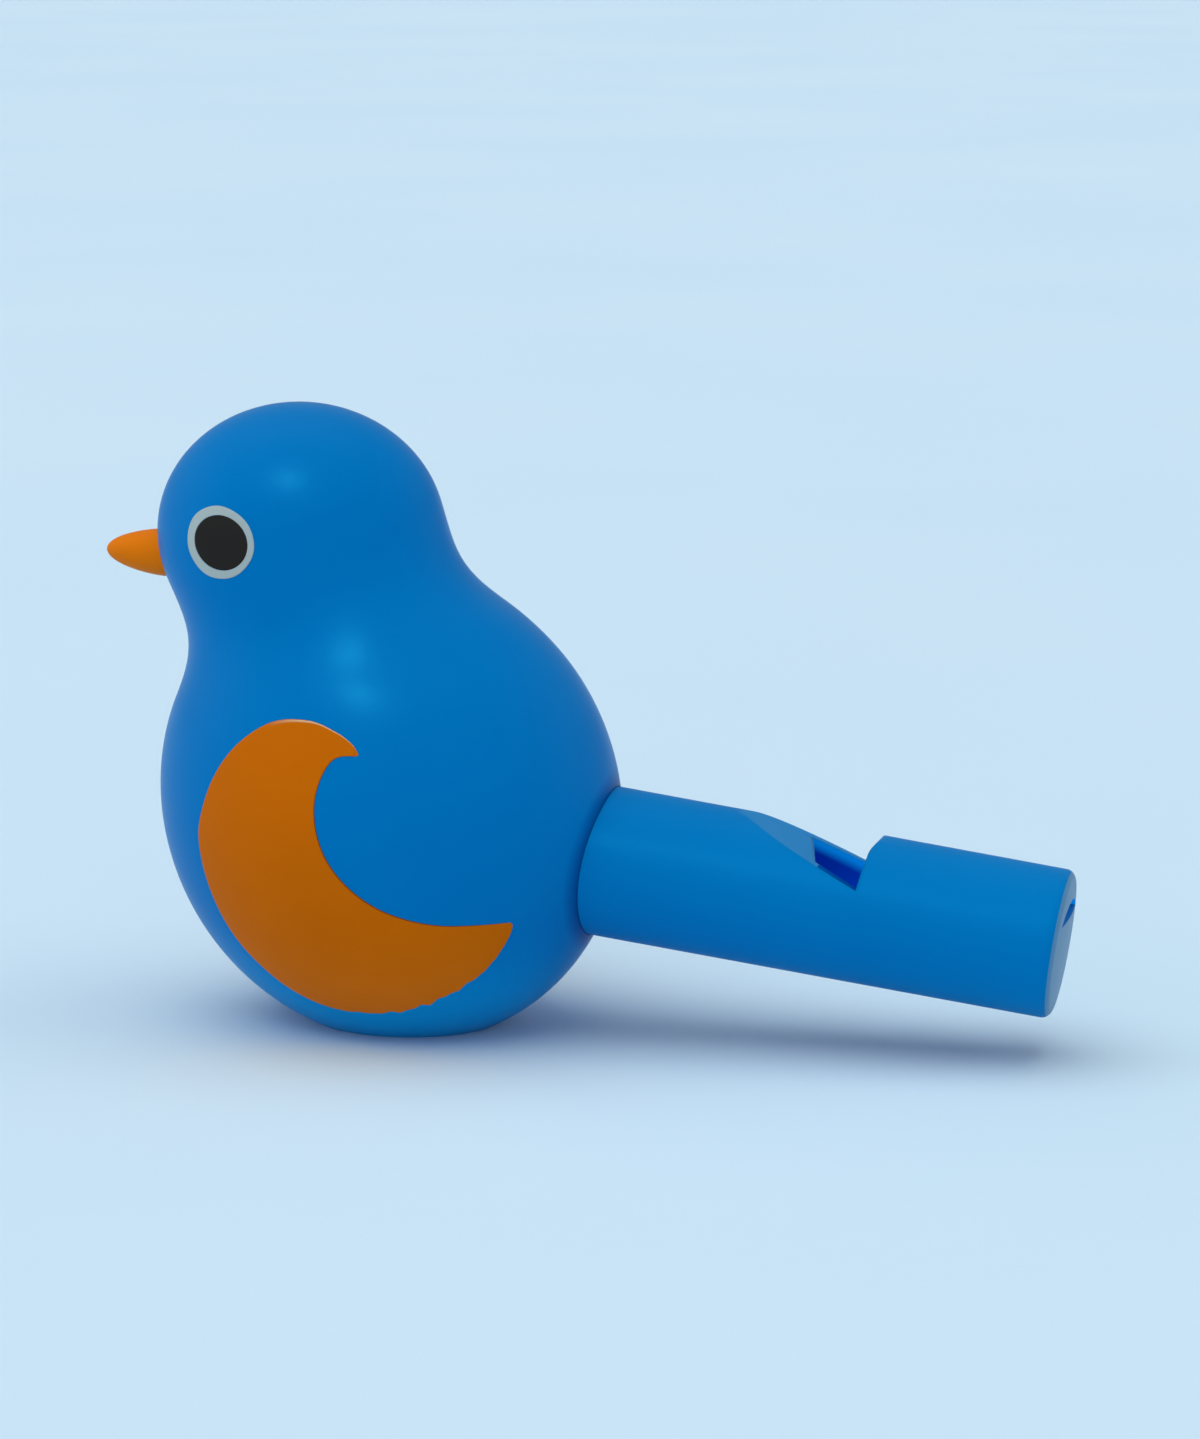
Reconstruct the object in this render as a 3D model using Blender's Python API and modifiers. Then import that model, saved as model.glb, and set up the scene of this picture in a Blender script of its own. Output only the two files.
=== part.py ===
"""Bird whistle: a hollow bird with a duct whistle for its tail.

The bird faces -X, its tail points along +X, and it stands on its flat base at z = 0.
"""

import math

import bmesh
import bpy
from mathutils import Euler, Matrix, Vector

CLEARANCE = 0.0003

# Body: an egg that leans, so that its lowest point lies behind its middle
BODY_LENGTH = 0.0581
BODY_HEIGHT = 0.0604
BODY_WIDTH = 0.0465
BODY_LEAN = 0.0018
BASE_CUT = 0.0026

# Head: a flatter egg ahead of the body and above it
HEAD_LENGTH = 0.0362
HEAD_HEIGHT = 0.0322
HEAD_WIDTH = 0.0284
HEAD_FORWARD = 0.0112
HEAD_RISE = 0.0335

# How far the two eggs run into each other at the neck
THROAT_BLEND = 0.0085
NAPE_BLEND = 0.0083
CHEEK_BLEND = 0.0080

WALL = 0.0024
OUTER_LEVELS = 44
OUTER_SIDES = 60
INNER_LEVELS = 28
INNER_SIDES = 36

# Tail tube, measured along its axis from below the body's middle
TUBE_DROP = 0.0025
TUBE_DROOP = math.radians(7.35)
TUBE_ROOT_RADIUS = 0.0093
TUBE_MOUTH_RADIUS = 0.0091
TUBE_INNER_END = 0.0190
TUBE_MOUTH = 0.0849
TUBE_WALL = 0.0012
MOUTH_ROUNDING = 0.0012
MOUTH_DOME = 0.0004
MOUTH_WALL = 0.0018
TUBE_SIDES = 56

# Sound window: the ramp falls to the step, and the lip stops short of it
STEP_PLACE = 0.0601
STEP_LEAN = math.radians(5.0)
STEP_FOOT = 0.0037
STEP_ROUNDING = 0.0016
RAMP_ANGLE = math.radians(19.3)
RAMP_ROUNDING = 0.0080
LIP_GAP = 0.0069
LIP_EDGE = 0.0003
LIP_BLOCK_LENGTH = 0.0130

# Windway: a slot with a flat floor and an arched roof
WINDWAY_FLOOR = 0.0036
WINDWAY_HALF_WIDTH = 0.0061
WINDWAY_HEIGHT = 0.0020
SHELF_THICKNESS = 0.0015

# Beak
BEAK_RISE = -0.0032
BEAK_TILT = math.radians(1.5)
BEAK_LENGTH = 0.0077
BEAK_RADIUS = 0.0030
BEAK_FULLNESS = 1.5
BEAK_BLUNTNESS = 0.52
BEAK_SUNK = 0.0020
PEG_RADIUS = 0.0014
PEG_PAST_WALL = 0.0008

# Colour pieces let into the sides
SEAT_DEPTH = 0.0010
PROUD = 0.00015

# Eye, seen from the side: offset from the head's middle, half sizes and lean
EYE_FORWARD = 0.0063
EYE_RISE = 0.0005
EYE_HALF_LENGTH = 0.0049
EYE_HALF_HEIGHT = 0.0045
EYE_LEAN = math.radians(-8.0)
PUPIL_HALF_LENGTH = 0.0037
PUPIL_HALF_HEIGHT = 0.0033
PUPIL_FORWARD = -0.0002

# Wing: outer and inner edge from tip to tip, as shares of the body's half length and half height
WING_OUTER = [(0.08, 0.35), (-0.06, 0.45), (-0.24, 0.48), (-0.43, 0.40), (-0.59, 0.21), (-0.67, -0.06),
              (-0.62, -0.30), (-0.46, -0.55), (-0.23, -0.72), (0.02, -0.76), (0.28, -0.72), (0.49, -0.60),
              (0.64, -0.45), (0.68, -0.35)]
WING_INNER = [(0.68, -0.35), (0.46, -0.346), (0.25, -0.305), (0.04, -0.18), (-0.07, -0.015), (-0.097, 0.175),
              (-0.01, 0.33), (0.08, 0.35)]

BLUE = (0.0, 0.15, 0.47, 1.0)
ORANGE = (0.53, 0.11, 0.006, 1.0)
RING_WHITE = (0.38, 0.45, 0.46, 1.0)
PUPIL_BLACK = (0.012, 0.012, 0.013, 1.0)

BODY_MIDDLE = BODY_HEIGHT / 2 - BASE_CUT
HEAD_MIDDLE = BODY_MIDDLE + HEAD_RISE


def clear_scene():
    for obj in list(bpy.data.objects):
        bpy.data.objects.remove(obj, do_unlink=True)


def new_collection(name):
    collection = bpy.data.collections.new(name)
    bpy.context.scene.collection.children.link(collection)
    return collection


def plastic(name, colour, roughness):
    material = bpy.data.materials.new(name)
    material.use_nodes = True
    shader = material.node_tree.nodes["Principled BSDF"]
    shader.inputs["Base Color"].default_value = colour
    shader.inputs["Roughness"].default_value = roughness
    shader.inputs["Metallic"].default_value = 0.0
    material.diffuse_color = colour
    return material


def mesh_object(name, mesh, collection):
    obj = bpy.data.objects.new(name, mesh)
    collection.objects.link(obj)
    return obj


def make_cutter(obj):
    obj.hide_render = True
    obj.display_type = "WIRE"
    return obj


def cut(obj, tool, operation="DIFFERENCE"):
    modifier = obj.modifiers.new(tool.name, "BOOLEAN")
    modifier.operation = operation
    modifier.solver = "EXACT"
    modifier.object = tool


def finish_part(obj, material, sharp_angle=math.radians(35)):
    obj.data.materials.clear()
    obj.data.materials.append(material)
    obj.data.shade_smooth()
    obj.data.set_sharp_from_angle(angle=sharp_angle)


def smooth_min(a, b, blend):
    overlap = max(blend - abs(a - b), 0.0) / blend
    return min(a, b) - overlap * overlap * blend / 4


def egg_distance(x, z, half_length, half_height):
    """About how far a point lies outside an egg's outline, from the egg's own middle."""
    return (math.hypot(x / half_length, z / half_height) - 1.0) * min(half_length, half_height)


def bird_distance(x, z, body_half, head_half, head_forward, blend):
    """About how far a point lies outside the blended outline of body and head."""
    body_z = z - BODY_MIDDLE
    body_x = x + BODY_LEAN * body_z / (BODY_HEIGHT / 2) * (head_forward / HEAD_FORWARD)
    body = egg_distance(body_x, body_z, body_half, BODY_HEIGHT / 2)
    head = egg_distance(x + head_forward, z - HEAD_MIDDLE, head_half, HEAD_HEIGHT / 2)
    return smooth_min(body, head, blend)


def edge_of(z, inset, start, towards, outline):
    """Where the outline, moved in by inset, ends at height z, going one way from a start inside it."""
    inner = start
    outer = start + towards * BODY_LENGTH
    for _ in range(40):
        middle = (inner + outer) / 2
        if bird_distance(middle, z, *outline) < -inset:
            inner = middle
        else:
            outer = middle
    return inner


def section(z, inset):
    """Front, back and half width of the skin's horizontal section at height z."""
    rise = min(max((z - BODY_MIDDLE) / HEAD_RISE, 0.0), 1.0)
    start = -HEAD_FORWARD * rise
    profile = (BODY_LENGTH / 2, HEAD_LENGTH / 2, HEAD_FORWARD)
    front = edge_of(z, inset, start, -1, profile + (THROAT_BLEND,))
    back = edge_of(z, inset, start, 1, profile + (NAPE_BLEND,))
    half_width = edge_of(z, inset, 0.0, 1, (BODY_WIDTH / 2, HEAD_WIDTH / 2, 0.0, CHEEK_BLEND))
    return front, back, half_width


def skin(name, collection, inset, levels, sides):
    """The bird's outside, moved in by inset, as a loft of level sections closed at the base and the crown."""
    bottom = inset
    top = HEAD_MIDDLE + HEAD_HEIGHT / 2 - inset
    model = bmesh.new()
    rings = []
    for level in range(levels):
        z = bottom + (top - bottom) * (1 - math.cos(math.pi * level / levels)) / 2
        front, back, half_width = section(z, inset)
        middle = (front + back) / 2
        half_length = (back - front) / 2
        ring = []
        for side in range(sides):
            turn = 2 * math.pi * side / sides
            place = (middle + half_length * math.cos(turn), half_width * math.sin(turn), z)
            ring.append(model.verts.new(place))
        rings.append(ring)
    for low, high in zip(rings, rings[1:]):
        for side in range(sides):
            after = (side + 1) % sides
            model.faces.new((low[side], low[after], high[after], high[side]))
    crown = model.verts.new((-HEAD_FORWARD, 0.0, top))
    for side in range(sides):
        model.faces.new((rings[-1][side], rings[-1][(side + 1) % sides], crown))
    model.faces.new(list(reversed(rings[0])))
    mesh = bpy.data.meshes.new(name)
    model.to_mesh(mesh)
    model.free()
    return mesh_object(name, mesh, collection)


def as_mesh(curve_object, collection):
    """A curve object's evaluated shape as a closed mesh object in its place."""
    bpy.context.view_layer.update()
    evaluated = curve_object.evaluated_get(bpy.context.evaluated_depsgraph_get())
    mesh = bpy.data.meshes.new_from_object(evaluated)
    model = bmesh.new()
    model.from_mesh(mesh)
    bmesh.ops.remove_doubles(model, verts=model.verts, dist=1e-6)
    bmesh.ops.recalc_face_normals(model, faces=model.faces)
    model.to_mesh(mesh)
    model.free()
    name = curve_object.name
    matrix = curve_object.matrix_world.copy()
    data = curve_object.data
    bpy.data.objects.remove(curve_object, do_unlink=True)
    bpy.data.curves.remove(data)
    obj = mesh_object(name, mesh, collection)
    obj.matrix_world = matrix
    return obj


def prism(name, collection, outline, half_depth, matrix):
    """A flat outline, extruded both ways from its own plane."""
    curve = bpy.data.curves.new(name, "CURVE")
    curve.dimensions = "2D"
    curve.fill_mode = "BOTH"
    curve.extrude = half_depth
    spline = curve.splines.new("POLY")
    spline.points.add(len(outline) - 1)
    for point, (x, y) in zip(spline.points, outline):
        point.co = (x, y, 0.0, 1.0)
    spline.use_cyclic_u = True
    obj = bpy.data.objects.new(name, curve)
    collection.objects.link(obj)
    obj.matrix_world = matrix
    return as_mesh(obj, collection)


def turned(name, collection, profile, matrix, steps):
    """A profile of (radius, height) points, from the top down its outer side, turned about local Z."""
    mesh = bpy.data.meshes.new(name)
    edges = [(i, i + 1) for i in range(len(profile) - 1)]
    mesh.from_pydata([(radius, 0.0, height) for radius, height in profile], edges, [])
    obj = mesh_object(name, mesh, collection)
    obj.matrix_world = matrix
    screw = obj.modifiers.new("turn", "SCREW")
    screw.steps = steps
    screw.render_steps = steps
    screw.use_merge_vertices = True
    screw.merge_threshold = 0.00001
    return obj


def side_matrix(x, y, z):
    """Puts an outline's own x along world X and its own y along world Z."""
    turn = Matrix(((1, 0, 0), (0, 0, -1), (0, 1, 0))).to_4x4()
    return Matrix.Translation((x, y, z)) @ turn


def tube_matrix():
    """Local Z runs along the tail towards the mouth, local X points up from its axis."""
    along = Vector((math.cos(TUBE_DROOP), 0.0, -math.sin(TUBE_DROOP)))
    up = Vector((math.sin(TUBE_DROOP), 0.0, math.cos(TUBE_DROOP)))
    turn = Matrix((up, along.cross(up), along)).transposed().to_4x4()
    return Matrix.Translation((0.0, 0.0, BODY_MIDDLE - TUBE_DROP)) @ turn


def tube_side_matrix():
    """Puts an outline's own x along the tail and its own y up from the tail's axis."""
    turn = Matrix(((0, 1, 0), (0, 0, 1), (1, 0, 0))).to_4x4()
    return tube_matrix() @ turn


def arc(centre, radius, start, end, steps):
    points = []
    for i in range(steps + 1):
        turn = start + (end - start) * i / steps
        points.append((centre[0] + radius * math.cos(turn), centre[1] + radius * math.sin(turn)))
    return points


def ellipse(half_length, half_height, lean, steps):
    points = []
    for i in range(steps):
        turn = 2 * math.pi * i / steps
        x = half_length * math.cos(turn)
        y = half_height * math.sin(turn)
        points.append((x * math.cos(lean) - y * math.sin(lean), x * math.sin(lean) + y * math.cos(lean)))
    return points


def through(points, steps):
    """A smooth line through the points, up to the last but not with it."""
    line = []
    for i in range(len(points) - 1):
        before = Vector(points[max(i - 1, 0)])
        here = Vector(points[i])
        after = Vector(points[i + 1])
        beyond = Vector(points[min(i + 2, len(points) - 1)])
        for step in range(steps):
            t = step / steps
            place = (here * 2 + (after - before) * t + (before * 2 - here * 5 + after * 4 - beyond) * t * t
                     + (here * 3 - before - after * 3 + beyond) * t * t * t) / 2
            line.append(tuple(place))
    return line


def grown(outline, by):
    """A closed outline, run anticlockwise, moved outwards by a distance."""
    moved = []
    for i, point in enumerate(outline):
        before = Vector(outline[i - 1])
        here = Vector(point)
        after = Vector(outline[(i + 1) % len(outline)])
        into = (here - before).normalized()
        out_of = (after - here).normalized()
        normal = Vector((into.y + out_of.y, -into.x - out_of.x)).normalized()
        lean = max(normal.dot(Vector((into.y, -into.x))), 0.5)
        moved.append(tuple(here + normal * by / lean))
    return moved


def wing_outline():
    scaled = []
    for chain in (WING_OUTER, WING_INNER):
        points = [(x * BODY_LENGTH / 2, y * BODY_HEIGHT / 2) for x, y in chain]
        scaled += through(points, 3)
    return scaled


def eye_outline(half_length, half_height, grow):
    return ellipse(half_length + grow, half_height + grow, EYE_LEAN, 32)


def eye_place():
    return -HEAD_FORWARD - EYE_FORWARD, HEAD_MIDDLE + EYE_RISE


def inlay(name, collection, tools, outline, x, z, side, material):
    """A thin piece whose face follows the skin and stands a little proud of it."""
    depth = BODY_WIDTH / 4
    obj = prism(name, collection, outline, depth, side_matrix(x, side * (depth + CLEARANCE), z))
    cut(obj, tools["proud_skin"], "INTERSECT")
    cut(obj, tools["inlay_back"])
    finish_part(obj, material)
    return obj


def seat(name, cutters, tools, outline, x, z, side):
    """The cutter of the shallow seat that an inlay lies in."""
    depth = BODY_WIDTH / 2
    obj = prism(name, cutters, outline, depth, side_matrix(x, side * (depth + CLEARANCE), z))
    cut(obj, tools["seat_floor"])
    return make_cutter(obj)


def make_skin_tools(cutters):
    insets = {"proud_skin": -PROUD, "inlay_back": SEAT_DEPTH - CLEARANCE, "seat_floor": SEAT_DEPTH,
              "beak_seat": -CLEARANCE}
    tools = {}
    for name, inset in insets.items():
        tools[name] = make_cutter(skin(name, cutters, inset, OUTER_LEVELS, OUTER_SIDES))
    tools["chamber"] = make_cutter(skin("chamber", cutters, WALL, INNER_LEVELS, INNER_SIDES))
    return tools


def make_wings_and_eyes(parts, cutters, tools, orange, white, black):
    """Both wings and eyes, and the cutters of their seats."""
    seats = []
    wing = wing_outline()
    eye_x, eye_z = eye_place()
    pupil_x = eye_x - PUPIL_FORWARD
    ring = eye_outline(EYE_HALF_LENGTH, EYE_HALF_HEIGHT, 0.0)
    ring_seat = eye_outline(EYE_HALF_LENGTH, EYE_HALF_HEIGHT, CLEARANCE)
    pupil = eye_outline(PUPIL_HALF_LENGTH, PUPIL_HALF_HEIGHT, 0.0)
    pupil_hole = eye_outline(PUPIL_HALF_LENGTH, PUPIL_HALF_HEIGHT, CLEARANCE)
    for side, hand in ((-1, "left"), (1, "right")):
        inlay(hand + "_wing", parts, tools, wing, 0.0, BODY_MIDDLE, side, orange)
        seats.append(seat(hand + "_wing_seat", cutters, tools, grown(wing, CLEARANCE), 0.0, BODY_MIDDLE, side))
        hole = prism(hand + "_pupil_hole", cutters, pupil_hole, BODY_WIDTH, side_matrix(pupil_x, 0.0, eye_z))
        eye_ring = inlay(hand + "_eye_ring", parts, tools, ring, eye_x, eye_z, side, white)
        cut(eye_ring, make_cutter(hole))
        inlay(hand + "_pupil", parts, tools, pupil, pupil_x, eye_z, side, black)
        seats.append(seat(hand + "_eye_seat", cutters, tools, ring_seat, eye_x, eye_z, side))
    return seats


def tube_radius(place):
    """The tail's outer radius, which narrows evenly from the body to the mouth."""
    surface = BODY_LENGTH / 2
    share = (place - surface) / (TUBE_MOUTH - surface)
    return TUBE_ROOT_RADIUS + (TUBE_MOUTH_RADIUS - TUBE_ROOT_RADIUS) * share


def bore_radius():
    return TUBE_MOUTH_RADIUS - TUBE_WALL


def ramp_height(place):
    """The ramp's height above the tail's axis, at a place along it."""
    return STEP_FOOT + (STEP_PLACE - place) * math.tan(RAMP_ANGLE)


def make_notch(cutters):
    """Cuts the ramp and the step out of the tail's top, with the ramp's start and the step's crest rounded."""
    above = TUBE_ROOT_RADIUS * 1.5
    top = tube_radius(STEP_PLACE)
    start = STEP_PLACE - (top - STEP_FOOT) / math.tan(RAMP_ANGLE)
    ease = RAMP_ROUNDING * math.tan(RAMP_ANGLE / 2)
    entry = arc((start - ease, top - RAMP_ROUNDING), RAMP_ROUNDING, math.pi / 2, math.pi / 2 - RAMP_ANGLE, 6)
    crest_turn = math.pi / 2 - STEP_LEAN
    crest = STEP_PLACE + (top - STEP_FOOT) * math.tan(STEP_LEAN) + STEP_ROUNDING * math.tan(crest_turn / 2)
    leave = arc((crest, top - STEP_ROUNDING), STEP_ROUNDING, math.pi / 2 + crest_turn, math.pi / 2, 6)
    outline = [(start - ease - CLEARANCE, above), (start - ease - CLEARANCE, top + CLEARANCE)]
    outline += entry[1:] + [(STEP_PLACE, STEP_FOOT)] + leave[:-1]
    outline += [(crest + CLEARANCE, top + CLEARANCE), (crest + CLEARANCE, above)]
    return make_cutter(prism("notch", cutters, outline, TUBE_ROOT_RADIUS * 2, tube_side_matrix()))


def make_bore(cutters):
    """The tail's hollow: round to the lip and the window, and only below the windway's floor beyond them."""
    far_end = TUBE_MOUTH - MOUTH_WALL
    profile = [(0.0, far_end), (bore_radius(), far_end), (bore_radius(), 0.0), (0.0, 0.0)]
    bore = make_cutter(turned("bore", cutters, profile, tube_matrix(), TUBE_SIDES))
    above = TUBE_ROOT_RADIUS * 1.5
    lip = STEP_PLACE - LIP_GAP
    under_lip = ramp_height(lip) - LIP_EDGE
    back = lip - LIP_BLOCK_LENGTH
    lip_outline = [(back, above), (back, bore_radius()), (lip, under_lip), (lip, above)]
    shelf_under = WINDWAY_FLOOR - SHELF_THICKNESS
    roof_outline = [(STEP_PLACE, above), (STEP_PLACE, shelf_under), (TUBE_MOUTH, shelf_under),
                    (TUBE_MOUTH, above)]
    for name, outline in (("lip_block", lip_outline), ("windway_roof", roof_outline)):
        keep = prism(name, cutters, outline, TUBE_ROOT_RADIUS * 2, tube_side_matrix())
        cut(bore, make_cutter(keep))
    return bore


def make_windway(cutters):
    """The slot from the mouth to the window, flat below and arched above."""
    arch = (WINDWAY_HALF_WIDTH ** 2 + WINDWAY_HEIGHT ** 2) / (2 * WINDWAY_HEIGHT)
    spread = math.asin(WINDWAY_HALF_WIDTH / arch)
    centre = (WINDWAY_FLOOR + WINDWAY_HEIGHT - arch, 0.0)
    outline = arc(centre, arch, -spread, spread, 14)
    start = STEP_PLACE - CLEARANCE
    end = TUBE_MOUTH + MOUTH_ROUNDING
    place = tube_matrix() @ Matrix.Translation((0.0, 0.0, (start + end) / 2))
    return make_cutter(prism("windway", cutters, outline, (end - start) / 2, place))


def make_whistle_tube(parts, cutters, blue):
    """The tail: a tapered tube with the bore, the windway, the lip and the sound window."""
    mouth_radius = tube_radius(TUBE_MOUTH)
    rim = arc((mouth_radius - MOUTH_ROUNDING, TUBE_MOUTH - MOUTH_ROUNDING), MOUTH_ROUNDING, math.pi / 2, 0.0, 5)
    profile = [(0.0, TUBE_MOUTH + MOUTH_DOME), (mouth_radius / 2, TUBE_MOUTH + MOUTH_DOME * 0.75)] + rim
    profile += [(tube_radius(TUBE_INNER_END), TUBE_INNER_END), (0.0, TUBE_INNER_END)]
    tube = turned("whistle_tube", parts, profile, tube_matrix(), TUBE_SIDES)
    cut(tube, make_bore(cutters))
    cut(tube, make_windway(cutters))
    cut(tube, make_notch(cutters))
    finish_part(tube, blue)
    return tube


def beak_matrix():
    """Local Z points forward out of the head, from the front of its skin."""
    height = HEAD_MIDDLE + BEAK_RISE
    front = section(height, 0.0)[0]
    turn = Euler((0.0, -math.pi / 2 + BEAK_TILT, 0.0)).to_matrix().to_4x4()
    return Matrix.Translation((front, 0.0, height)) @ turn


def peg_profile(radius, start, end):
    return [(0.0, end), (radius, end), (radius, start), (0.0, start)]


def beak_profile(steps):
    """From the tip down: a full cone that rounds off towards its tip."""
    points = []
    for i in range(steps):
        share = math.cos(math.pi / 2 * i / steps)
        radius = BEAK_RADIUS * (1 - share ** BEAK_FULLNESS) ** BEAK_BLUNTNESS
        points.append((radius, BEAK_LENGTH * share))
    return points + [(BEAK_RADIUS, 0.0), (BEAK_RADIUS, -BEAK_SUNK), (0.0, -BEAK_SUNK)]


def make_beak(parts, cutters, tools, orange):
    """A rounded cone, seated on the head, with a peg through the head's wall."""
    cone = turned("beak", parts, beak_profile(12), beak_matrix(), 32)
    cut(cone, tools["beak_seat"])
    peg_end = -WALL - PEG_PAST_WALL
    peg = turned("beak_peg", cutters, peg_profile(PEG_RADIUS, peg_end, BEAK_LENGTH / 2), beak_matrix(), 20)
    cut(cone, make_cutter(peg), "UNION")
    finish_part(cone, orange)
    hole = peg_profile(PEG_RADIUS + CLEARANCE, -2 * WALL, BEAK_SUNK)
    return make_cutter(turned("peg_hole", cutters, hole, beak_matrix(), 20))


def make_body_shell(parts, cutters, tools, seats, blue):
    """The hollow bird, open where the tail goes in."""
    shell = skin("body_shell", parts, 0.0, OUTER_LEVELS, OUTER_SIDES)
    cut(shell, tools["chamber"])
    opening = tube_radius(TUBE_INNER_END) + CLEARANCE
    profile = [(0.0, BODY_LENGTH), (opening, BODY_LENGTH), (opening, TUBE_INNER_END - WALL),
               (0.0, TUBE_INNER_END - WALL)]
    cut(shell, make_cutter(turned("tail_opening", cutters, profile, tube_matrix(), TUBE_SIDES)))
    for tool in seats:
        cut(shell, tool)
    finish_part(shell, blue)
    return shell


def main():
    clear_scene()
    parts = new_collection("bird_whistle")
    cutters = new_collection("bird_whistle_cutters")
    blue = plastic("blue_plastic", BLUE, 0.35)
    orange = plastic("orange_plastic", ORANGE, 0.42)
    white = plastic("ring_white_plastic", RING_WHITE, 0.5)
    black = plastic("pupil_black_plastic", PUPIL_BLACK, 0.5)
    tools = make_skin_tools(cutters)
    seats = make_wings_and_eyes(parts, cutters, tools, orange, white, black)
    seats.append(make_beak(parts, cutters, tools, orange))
    make_whistle_tube(parts, cutters, blue)
    make_body_shell(parts, cutters, tools, seats, blue)


main()
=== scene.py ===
import math

import bmesh
import bpy
import numpy as np
from mathutils import Euler, Matrix, Vector


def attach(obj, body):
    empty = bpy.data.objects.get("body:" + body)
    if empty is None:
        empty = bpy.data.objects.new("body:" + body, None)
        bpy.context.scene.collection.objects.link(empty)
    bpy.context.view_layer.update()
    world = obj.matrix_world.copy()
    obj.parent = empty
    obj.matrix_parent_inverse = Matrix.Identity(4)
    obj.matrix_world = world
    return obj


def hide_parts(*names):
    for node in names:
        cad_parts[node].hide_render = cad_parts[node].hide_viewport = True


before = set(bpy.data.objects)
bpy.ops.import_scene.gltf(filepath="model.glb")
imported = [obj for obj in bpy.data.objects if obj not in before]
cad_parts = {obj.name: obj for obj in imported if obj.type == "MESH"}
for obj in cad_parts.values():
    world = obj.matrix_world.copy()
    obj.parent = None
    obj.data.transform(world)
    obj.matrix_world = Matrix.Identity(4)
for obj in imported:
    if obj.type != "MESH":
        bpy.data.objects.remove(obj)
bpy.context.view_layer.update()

# Sizes shared with the solids, in metres
BODY_LENGTH = 0.0581
BODY_HEIGHT = 0.0604
BODY_WIDTH = 0.0465
BODY_LEAN = 0.0018
BASE_CUT = 0.0026
HEAD_LENGTH = 0.0362
HEAD_HEIGHT = 0.0322
HEAD_WIDTH = 0.0284
HEAD_FORWARD = 0.0112
HEAD_RISE = 0.0335
THROAT_BLEND = 0.0085
NAPE_BLEND = 0.0083
CHEEK_BLEND = 0.0080
BODY_MIDDLE = BODY_HEIGHT / 2 - BASE_CUT
HEAD_MIDDLE = BODY_MIDDLE + HEAD_RISE
CROWN = HEAD_MIDDLE + HEAD_HEIGHT / 2

TUBE_DROP = 0.0025
TUBE_DROOP = math.radians(7.35)
TUBE_ROOT_RADIUS = 0.0093
TUBE_MOUTH_RADIUS = 0.0091
TUBE_INNER_END = 0.0190
TUBE_MOUTH = 0.0849
TUBE_WALL = 0.0012
STEP_PLACE = 0.0601
STEP_LEAN = math.radians(5.0)
STEP_FOOT = 0.0037
STEP_ROUNDING = 0.0016
RAMP_ANGLE = math.radians(19.3)
RAMP_ROUNDING = 0.0080
LIP_GAP = 0.0069
LIP_EDGE = 0.0003
LIP_BLOCK_LENGTH = 0.0130
LIP_SKEW = 0.22
STRIP_START = 0.0052
RAMP_REACH = 0.02
JAG = 0.00016
SEAM_GAP = 0.00006
NOTCH_ROLL = math.radians(-3.0)
WINDWAY_FLOOR = 0.0036
WINDWAY_HALF_WIDTH = 0.0061
WINDWAY_HEIGHT = 0.0020
SHELF_THICKNESS = 0.0015
MOUTH_ROUNDING = 0.0012
MOUTH_DOME = 0.0004
MOUTH_WALL = 0.0018
TUBE_SIDES = 128
TUBE_STEPS = 40
DOME_STEPS = 8
CUT_MARGIN = 0.0003
ABOVE_TUBE = TUBE_ROOT_RADIUS * 1.5
BESIDE_TUBE = TUBE_ROOT_RADIUS * 2
OPENING_DEPTH = 0.0040

BEAK_RISE = -0.0032
BEAK_TILT = math.radians(1.5)
BEAK_SUNK = 0.0020
BEAK_LENGTH = 0.00765
BEAK_RADIUS = 0.00296
BEAK_FULLNESS = 1.5
BEAK_BLUNTNESS = 0.50
BEAK_SIDES = 72
BEAK_ROWS = 44
BEAK_MERGE = 1e-6

EYE_FORWARD = 0.0063
EYE_RISE = 0.0005
EYE_HALF_LENGTH = 0.0047
EYE_HALF_HEIGHT = 0.0044
EYE_LEAN = math.radians(-8.0)
PUPIL_HALF_LENGTH = 0.0037
PUPIL_HALF_HEIGHT = 0.0033
PUPIL_FORWARD = -0.0002
EYE_SIDES = 96
RING_ROWS = 10
PUPIL_ROWS = 16
PUPIL_GAP = 0.00003

# How high the coloured pieces stand over the skin, the rounding of their edges, and how deep they sit
INLAY_DEPTH = 0.0006
WING_ROWS = 150
WING_COLUMNS = 26
WING_CREST = 0.00010
WING_ROUNDING = 0.00010
RING_CREST = 0.00010
RING_ROUNDING = 0.00009
PUPIL_CREST = 0.00009
PUPIL_ROUNDING = 0.00008

MM_PER_METRE = 1000

# Wing edges in millimetres, seen from the side: from the tip on the shoulder to the tip towards the tail
WING_OUTER = [(2.3, 38.1), (1.4, 39.3), (-0.7, 40.6), (-4.2, 41.7), (-9.0, 41.2), (-13.6, 38.2),
              (-16.9, 33.9), (-19.0, 28.7), (-19.45, 25.0), (-18.5, 19.9), (-16.5, 15.0), (-13.6, 11.0),
              (-9.1, 7.1), (-4.2, 4.9), (0.6, 4.45), (5.6, 5.0), (10.4, 6.9), (14.0, 9.1), (16.5, 11.3),
              (18.3, 13.8), (19.3, 15.7), (19.6, 16.8)]
WING_INNER = [(2.0, 37.9), (0.0, 37.75), (-1.3, 36.8), (-2.4, 34.5), (-2.9, 31.6), (-2.5, 28.2),
              (-1.2, 25.0), (1.1, 22.1), (4.2, 19.7), (7.6, 18.2), (11.4, 17.3), (15.0, 17.1), (19.3, 17.1)]

# Grid of the skin, and the table of its sections from which points on it are read
SKIN_LEVELS = 130
SKIN_SIDES = 176
EDGE_HALVINGS = 40
TABLE_ROWS = 900
NORMAL_STEP = 2e-5
FOLLOWS_SKIN = 0.90
CROWN_CAP = 0.0012

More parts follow.
